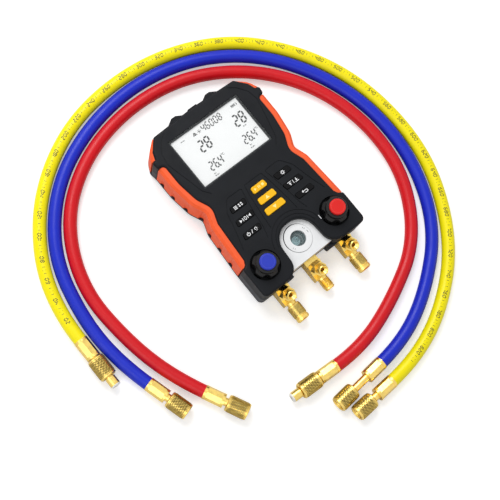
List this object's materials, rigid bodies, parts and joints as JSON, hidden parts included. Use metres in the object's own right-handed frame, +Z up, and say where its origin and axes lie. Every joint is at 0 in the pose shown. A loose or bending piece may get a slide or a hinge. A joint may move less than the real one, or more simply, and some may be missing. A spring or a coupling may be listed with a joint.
{
  "type": "refrigerant manifold gauge",
  "caption": "Digital refrigerant manifold gauge with a sight glass, valve knobs and flare ports, and loose charging hoses with knurled coupling nuts",
  "frame": {"origin": "under the middle of the gauge's own bounding box, on the ground it lies on; the loose hoses are left aside", "axes": "+X across the case to the high-pressure (red) side, +Y from the ports to the display, +Z up out of the face"},
  "size_m": [0.3833, 0.3918, 0.0508],
  "materials": {
    "case_black": "fine-grained black housing plastic",
    "rubber_orange": "soft orange over-moulded rubber",
    "socket_black": "black socket insert",
    "key_black": "black silicone-feel key",
    "key_yellow": "yellow key",
    "knob_black": "black hand wheel",
    "cap_blue": "blue insert",
    "cap_red": "red insert",
    "lens_clear": "clear display plate",
    "display": "grey-white liquid crystal display",
    "board_green": "glass-fibre circuit board",
    "chips": "moulded components",
    "membrane": "grey silicone mat",
    "manifold_metal": "bead-blasted aluminium",
    "steel": "plain steel",
    "glass": "clear sight glass",
    "brass": "bright machined brass",
    "cell": "cell jacket",
    "hook_plastic": "black hanger plastic",
    "seal_white": "white sealing ring",
    "hose_red": "smooth red hose jacket",
    "hose_blue": "smooth blue hose jacket",
    "hose_yellow": "smooth yellow hose jacket"
  },
  "bodies": {
    "gauge": {"front_case": "case_black", "rear_case": "case_black", "grip_left": "rubber_orange", "grip_right": "rubber_orange", "corner_bumpers": "rubber_orange", "probe_sockets": "socket_black", "battery_door": "case_black", "batteries": "cell", "battery_contacts": "steel", "case_screws": "steel", "hook_pin": "steel", "lcd_lens": "lens_clear", "lcd_module": "display", "circuit_board": "board_green", "board_components": "chips", "keypad_membrane": "membrane", "manifold_block": "manifold_metal", "manifold_screws": "steel", "sight_ring": "manifold_metal", "sight_glass": "glass", "sight_plunger": "steel", "pressure_sensors": "brass", "packing_nuts": "brass", "port_nozzles": "brass", "port_body_left": "brass", "port_body_middle": "brass", "port_body_right": "brass", "hose_seals": "seal_white", "core_depressors": "brass", "hose_red": "hose_red", "ferrules_red": "brass", "hose_blue": "hose_blue", "ferrules_blue": "brass", "hose_yellow": "hose_yellow", "ferrules_yellow": "brass"},
    "hanger": {"hanging_hook": "hook_plastic"},
    "key_mode": {"key_mode": "key_black"},
    "key_zero": {"key_zero": "key_black"},
    "key_power": {"key_power": "key_black"},
    "key_set": {"key_set": "key_black"},
    "key_minmax": {"key_minmax": "key_black"},
    "key_back": {"key_back": "key_black"},
    "key_play": {"key_play": "key_yellow"},
    "key_up": {"key_up": "key_yellow"},
    "key_down": {"key_down": "key_yellow"},
    "stem_low": {"valve_spindle_low": "steel"},
    "hand_wheel_low": {"knob_low": "knob_black", "cap_low": "cap_blue"},
    "stem_high": {"valve_spindle_high": "steel"},
    "hand_wheel_high": {"knob_high": "knob_black", "cap_high": "cap_red"},
    "port_cap_left": {"dust_cap_left": "brass"},
    "port_cap_right": {"dust_cap_right": "brass"},
    "coupling_red_a": {"nut_red_a": "brass"},
    "coupling_red_b": {"nut_red_b": "brass"},
    "coupling_blue_a": {"nut_blue_a": "brass"},
    "coupling_blue_b": {"nut_blue_b": "brass"},
    "coupling_yellow_a": {"nut_yellow_a": "brass"},
    "coupling_yellow_b": {"nut_yellow_b": "brass"}
  },
  "joints": [
    {"name": "key_mode_press", "type": "slide", "parent": "gauge", "child": "key_mode", "axis": [0, 0, -1], "range_m": [0, 0.001], "stiffness_N_per_m": 600},
    {"name": "key_zero_press", "type": "slide", "parent": "gauge", "child": "key_zero", "axis": [0, 0, -1], "range_m": [0, 0.001], "stiffness_N_per_m": 600},
    {"name": "key_power_press", "type": "slide", "parent": "gauge", "child": "key_power", "axis": [0, 0, -1], "range_m": [0, 0.001], "stiffness_N_per_m": 600},
    {"name": "key_set_press", "type": "slide", "parent": "gauge", "child": "key_set", "axis": [0, 0, -1], "range_m": [0, 0.001], "stiffness_N_per_m": 600},
    {"name": "key_minmax_press", "type": "slide", "parent": "gauge", "child": "key_minmax", "axis": [0, 0, -1], "range_m": [0, 0.001], "stiffness_N_per_m": 600},
    {"name": "key_back_press", "type": "slide", "parent": "gauge", "child": "key_back", "axis": [0, 0, -1], "range_m": [0, 0.001], "stiffness_N_per_m": 600},
    {"name": "key_play_press", "type": "slide", "parent": "gauge", "child": "key_play", "axis": [0, 0, -1], "range_m": [0, 0.001], "stiffness_N_per_m": 600},
    {"name": "key_up_press", "type": "slide", "parent": "gauge", "child": "key_up", "axis": [0, 0, -1], "range_m": [0, 0.001], "stiffness_N_per_m": 600},
    {"name": "key_down_press", "type": "slide", "parent": "gauge", "child": "key_down", "axis": [0, 0, -1], "range_m": [0, 0.001], "stiffness_N_per_m": 600},
    {"name": "valve_lift_low", "type": "slide", "parent": "gauge", "child": "stem_low", "axis": [0, 0, 1], "range_m": [0, 0.00313]},
    {"name": "knob_turn_low", "type": "hinge", "parent": "stem_low", "child": "hand_wheel_low", "pos_m": [-0.0412, -0.05035, 0.031], "axis": [0, 0, 1], "range_deg": [0, 900]},
    {"name": "valve_lift_high", "type": "slide", "parent": "gauge", "child": "stem_high", "axis": [0, 0, 1], "range_m": [0, 0.00313]},
    {"name": "knob_turn_high", "type": "hinge", "parent": "stem_high", "child": "hand_wheel_high", "pos_m": [0.0412, -0.05035, 0.031], "axis": [0, 0, 1], "range_deg": [0, 900]},
    {"name": "cap_turn_left", "type": "hinge", "parent": "gauge", "child": "port_cap_left", "pos_m": [-0.038, -0.10095, 0.009], "axis": [0, -1, 0], "continuous": true},
    {"name": "cap_turn_right", "type": "hinge", "parent": "gauge", "child": "port_cap_right", "pos_m": [0.038, -0.10095, 0.009], "axis": [0, -1, 0], "continuous": true},
    {"name": "nut_red_a_turn", "type": "hinge", "parent": "gauge", "child": "coupling_red_a", "pos_m": [-0.15, -0.103, 0.0074], "axis": [0.4335, -0.9004, 0.0367], "continuous": true},
    {"name": "nut_red_b_turn", "type": "hinge", "parent": "gauge", "child": "coupling_red_b", "pos_m": [-0.042, -0.16, 0.0074], "axis": [-0.9971, 0.0665, 0.0366], "continuous": true},
    {"name": "nut_blue_a_turn", "type": "hinge", "parent": "gauge", "child": "coupling_blue_a", "pos_m": [-0.184, -0.067, 0.0074], "axis": [0.2658, -0.9633, 0.0365], "continuous": true},
    {"name": "nut_blue_b_turn", "type": "hinge", "parent": "gauge", "child": "coupling_blue_b", "pos_m": [-0.007, -0.184, 0.0071], "axis": [-0.9974, -0.0665, 0.0266], "continuous": true},
    {"name": "nut_yellow_a_turn", "type": "hinge", "parent": "gauge", "child": "coupling_yellow_a", "pos_m": [-0.207, 0, 0.0074], "axis": [0, -0.9993, 0.0366], "continuous": true},
    {"name": "nut_yellow_b_turn", "type": "hinge", "parent": "gauge", "child": "coupling_yellow_b", "pos_m": [-0.01, -0.203, 0.0073], "axis": [-0.9988, -0.0344, 0.0344], "continuous": true},
    {"name": "hook_fold", "type": "hinge", "parent": "gauge", "child": "hanger", "pos_m": [0, 0.09805, 0.0046], "axis": [1, 0, 0], "range_deg": [0, 180]}
  ],
  "couplings": [
    {"joint": "knob_turn_low", "follows": "valve_lift_low", "rad_per_m": 5026.5},
    {"joint": "knob_turn_high", "follows": "valve_lift_high", "rad_per_m": 5026.5}
  ]
}
